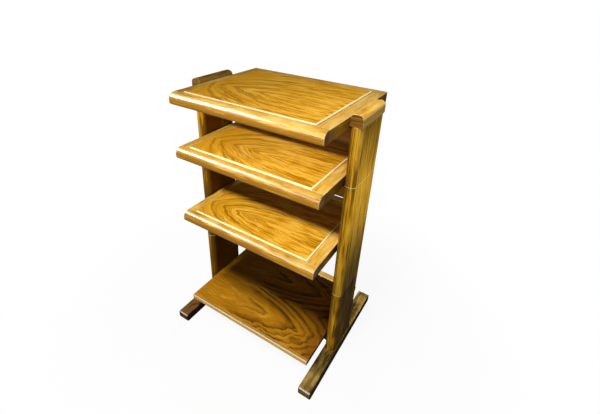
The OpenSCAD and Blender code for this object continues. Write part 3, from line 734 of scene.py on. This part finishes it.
# The solids that keep their own shape
RAILS = [f"{rail}_{end}" for rail in ("top_rail", "second_rail", "lower_stretcher")
         for end in ("front", "back")]
DOWELS = ["post_dowels_left", "post_dowels_right"]
BRIGHT = ["tie_rod_left", "tie_rod_right", "third_shelf_pins"]
PLATED = ["tie_rod_nuts", "tie_rod_washers", "top_shelf_screws", "second_shelf_screws",
          "bottom_shelf_screws"]
for kept, finish in ((RAILS, rail_wood), (DOWELS, beech), (BRIGHT, steel), (PLATED, zinc)):
    for node in kept:
        nodes[node].data.materials.clear()
        nodes[node].data.materials.append(finish)


# ---- Floor, light and camera -----------------------------------------------------

# Half the side of the floor, and how many squares a side is cut into
FLOOR_REACH, FLOOR_SQUARES = 12.0, 8
# The floor lies this far below z = 0, clear of the soles
FLOOR_DROP = 0.2 * MM
# How much of the white surroundings shows in polish and metal
MIRRORED = 0.03


def floor_finish():
    """Plain white floor: it takes the shadow, and reads as white where it is lit.

    The camera sees a white paint, part of it its own light, more of it further out,
    so that it meets the background unseen. Bounced light sees a grey one.
    """
    f = Finish(bpy.data.materials.new("pale_floor"))
    place = f.put("ShaderNodeTexCoord", {}, {}, "Object")
    cloud = f.noise(place, 2.0, 0.5, 3.0)
    rays = f.put("ShaderNodeLightPath").socket.node.outputs
    seen = Value(f, rays["Is Camera Ray"])
    mirrored = Value(f, rays["Is Glossy Ray"]) + Value(f, rays["Is Transmission Ray"])
    grey = f.blend(cloud, rgb(0.14, 0.14, 0.14), rgb(0.16, 0.16, 0.16))
    white = f.blend(cloud, rgb(0.93, 0.93, 0.93), rgb(0.96, 0.96, 0.96))
    paint = f.put("ShaderNodeBsdfDiffuse", {}, {"Color": f.blend(seen, grey, white)})
    glow = f.put("ShaderNodeEmission", {}, {"Color": rgb(1, 1, 1), "Strength": 1.0})
    distance = f.put("ShaderNodeVectorMath", {"operation": "LENGTH"}, {0: place}, "Value")
    far = f.step(distance, 0.35, 1.0, 0.92, 1.0)
    share = f.sum("ADD", seen, mirrored * MIRRORED, clamp=True) * far
    mixed = f.put("ShaderNodeMixShader", {}, {0: share, 1: paint, 2: glow})
    return f.surface(mixed)


def floor_sheet():
    """Flat square of grid points at z = -FLOOR_DROP, evenly spaced along X and Y."""
    line = np.linspace(-FLOOR_REACH, FLOOR_REACH, FLOOR_SQUARES + 1)
    x, y = np.meshgrid(line, line, indexing="ij")
    points = np.stack([x, y, np.full_like(x, -FLOOR_DROP)], -1).reshape(-1, 3)
    i, j = np.meshgrid(np.arange(FLOOR_SQUARES), np.arange(FLOOR_SQUARES), indexing="ij")
    row, above = i * len(line), (i + 1) * len(line)
    quads = np.stack([row + j, above + j, above + j + 1, row + j + 1], -1)
    mesh = bpy.data.meshes.new("studio_floor")
    mesh.from_pydata(points.tolist(), [], quads.reshape(-1, 4).tolist())
    mesh.materials.append(floor_finish())
    floor = bpy.data.objects.new("studio_floor", mesh)
    scene.collection.objects.link(floor)
    return floor


floor_sheet()


def lamp(name, place, aim, size, power, run=None, only=(), never=(), spread=180):
    """Soft lamp of size (width, height) at place, facing aim, its width along run.

    It lights only some pieces, or all but some that it never lights, if those are named.
    spread is the angle in degrees over which it shines.
    """
    data = bpy.data.lights.new(name, "AREA")
    data.shape = "RECTANGLE"
    data.size, data.size_y, data.energy = *size, power
    data.spread = math.radians(spread)
    thing = bpy.data.objects.new(name, data)
    scene.collection.objects.link(thing)
    back = (Vector(place) - Vector(aim)).normalized()
    side = Vector((0, 0, 1)).cross(back) if run is None else Vector(run)
    side = (side - side.dot(back) * back).normalized()
    turn = Matrix((side, back.cross(side), back)).transposed().to_4x4()
    thing.matrix_world = Matrix.Translation(place) @ turn
    thing.visible_camera = False
    if only or never:
        group = bpy.data.collections.new(f"{name}_pieces")
        for piece in only or never:
            group.objects.link(nodes.get(piece) or bpy.data.objects[piece])
        for entry in group.collection_objects:
            entry.light_linking.link_state = "INCLUDE" if only else "EXCLUDE"
        thing.light_linking.receiver_collection = group
    return thing


# Groups of pieces that a lamp is for, or is kept from
NOSINGS = [f"{level}_shelf_nosing_edge" for level in FRAMED]
INNER = {level: [f"{level}_shelf_{part}" for part in ("field", "left_edge", "right_edge", "back_edge")]
         for level in FRAMED}
BOARD = ["bottom_shelf_figured_board"]
FIELDS = INNER["top"] + INNER["second"] + INNER["third"] + BOARD
DEEP = ["second_shelf_field", "third_shelf_field"] + BOARD
LEFT_POST = [f"{level}_post_left_block" for level in ("lower", "middle", "upper")]
LEFT_CAP, RIGHT_CAP = ["cap_left_crown"], ["cap_right_crown"]
FEET = ["foot_left_runner", "foot_right_runner", "bottom_shelf_back_edge", "bottom_shelf_bead"]

# Main lamps, from above and in front
lamp("high_front_lamp", (0.05, -1.1, 2.3), (0.0, -0.05, 0.5), (0.45, 0.45), 30.0,
     never=FIELDS + LEFT_POST + LEFT_CAP + RAILS + RIGHT_CAP)
lamp("left_post_lamp", (-0.32, -1.15, 2.2), (-0.25, -0.05, 0.5), (0.15, 0.45), 29.0, only=LEFT_POST)
# One lamp for each shelf, so that the shadow of what is above it falls where it should
lamp("top_shelf_lamp", (0.33, -0.25, 1.55), (0.1, 0.0, 0.84), (0.2, 0.2), 7.4,
     only=INNER["top"] + RIGHT_CAP)
lamp("second_shelf_lamp", (0.24, -0.894, 1.210), (0.0, 0.0, 0.68), (0.1, 0.03), 19.5,
     only=INNER["second"])
lamp("third_shelf_lamp", (0.22, -0.894, 1.448), (0.0, 0.0, 0.46), (0.1, 0.1), 24.5,
     only=INNER["third"])
# Low lamps that catch the rounded edges of the panels
lamp("top_line_lamp", (-0.6, -1.6, 0.96), (0.0, -0.17, 0.845), (0.3, 0.05), 14.0,
     only=["top_shelf_field"])
for level in ("second", "third"):
    field_top = corners(f"{level}_shelf_panel")[1][2]
    lamp(f"{level}_line_lamp", (0.95, -0.35, field_top + 0.08), (0.2, -0.12, field_top), (0.3, 0.05), 3.2,
         only=[f"{level}_shelf_field"])
# The bottom shelf's own lamp, high up in front
lamp("board_lamp", (-0.1, -1.17, 3.0), (0.0, 0.0, 0.1), (0.7, 0.7), 90.0, only=BOARD)
# Fill from the front and the right
lamp("front_lamp", (0.25, -1.6, 1.25), (0.0, 0.0, 0.7), (0.5, 0.3), 13.0, only=NOSINGS)
lamp("near_front_lamp", (-0.30, -0.60, 1.05), (0.0, -0.05, 0.5), (0.22, 0.22), 1.6,
     never=NOSINGS + FIELDS)
lamp("low_front_lamp", (0.2, -1.2, 0.55), (0.0, -0.1, 0.15), (0.3, 0.3), 2.2,
     never=NOSINGS + FIELDS + LEFT_POST + LEFT_CAP)
lamp("near_right_lamp", (0.62, 0.0, 0.60), (0.27, 0.0, 0.62), (0.15, 0.15), 0.17,
     never=FIELDS, spread=75)
lamp("right_front_lamp", (0.8, -1.5, 1.6), (0.0, -0.05, 0.5), (0.5, 0.5), 4.5,
     never=FIELDS + RAILS + LEFT_POST)
# Strips that show only as reflections along the nosings
for name, place, size, power in (("left", (-1.095, -0.778, 1.739), (0.72, 0.75), 36.0),
                                 ("middle", (-0.71, -1.18, 1.31), (0.62, 0.40), 2.2),
                                 ("end", (-0.34, -1.23, 1.33), (0.35, 0.40), 3.5)):
    strip = lamp(f"{name}_strip_lamp", place, (0.0, -0.19, 0.84), size, power,
                 run=(0.67, -0.70, -0.75), only=NOSINGS)
    strip.visible_diffuse = False
# Light from behind, and on the feet
lamp("right_strip_lamp", (0.93, 1.05, 1.5), (0.25, 0.1, 0.84), (0.5, 0.06), 1.8,
     run=(0.75, -0.66, 0.0))
lamp("feet_lamp", (0.0, 0.3, 0.9), (0.0, 0.15, 0.0), (0.2, 0.2), 4.5, only=FEET)
back_fill = lamp("back_fill_lamp", (-1.6, 2.2, 0.75), (0.0, 0.0, 0.45), (1.0, 1.0), 34.0, never=DEEP)
back_fill.visible_glossy = False


def studio_world():
    """Dim even light all round. The camera sees plain white, polish and metal a little of it."""
    f = Finish(bpy.data.worlds.new("studio"))
    rays = f.put("ShaderNodeLightPath").socket.node.outputs
    mirrored = f.sum("MAXIMUM", Value(f, rays["Is Glossy Ray"]), Value(f, rays["Is Transmission Ray"]))
    seen = f.sum("MAXIMUM", Value(f, rays["Is Camera Ray"]), mirrored * MIRRORED)
    dim = f.put("ShaderNodeBackground", {}, {"Color": rgb(1, 1, 1), "Strength": 0.02})
    white = f.put("ShaderNodeBackground", {}, {"Color": rgb(1, 1, 1), "Strength": 1.0})
    mixed = f.put("ShaderNodeMixShader", {}, {0: seen, 1: dim, 2: white})
    return f.surface(mixed, "ShaderNodeOutputWorld")


scene.world = studio_world()
scene.view_settings.view_transform = "Standard"

# The camera looks back from azimuth round to the right of the front and elevation up, turned over by roll
CAMERA_PLACE = (0.5407, -0.8270, 1.1259)
azimuth, elevation, roll = (math.radians(degrees) for degrees in (31.617, 28.362, 2.021))
sideways = Vector((math.cos(azimuth), math.sin(azimuth), 0.0))
forward = Vector((-math.sin(azimuth), math.cos(azimuth), 0.0))
behind = Vector((0.0, 0.0, math.sin(elevation))) - math.cos(elevation) * forward
upright = behind.cross(sideways)
right = math.cos(roll) * sideways + math.sin(roll) * upright
up = math.cos(roll) * upright - math.sin(roll) * sideways
camera_data = bpy.data.cameras.new("camera")
camera_data.sensor_width = 36.0
camera_data.lens = 21.98
camera_data.shift_x = 0.01825
camera_data.shift_y = -0.0581
camera = bpy.data.objects.new("camera", camera_data)
scene.collection.objects.link(camera)
turn = Matrix((right, up, behind)).transposed().to_4x4()
camera.matrix_world = Matrix.Translation(CAMERA_PLACE) @ turn
scene.camera = camera
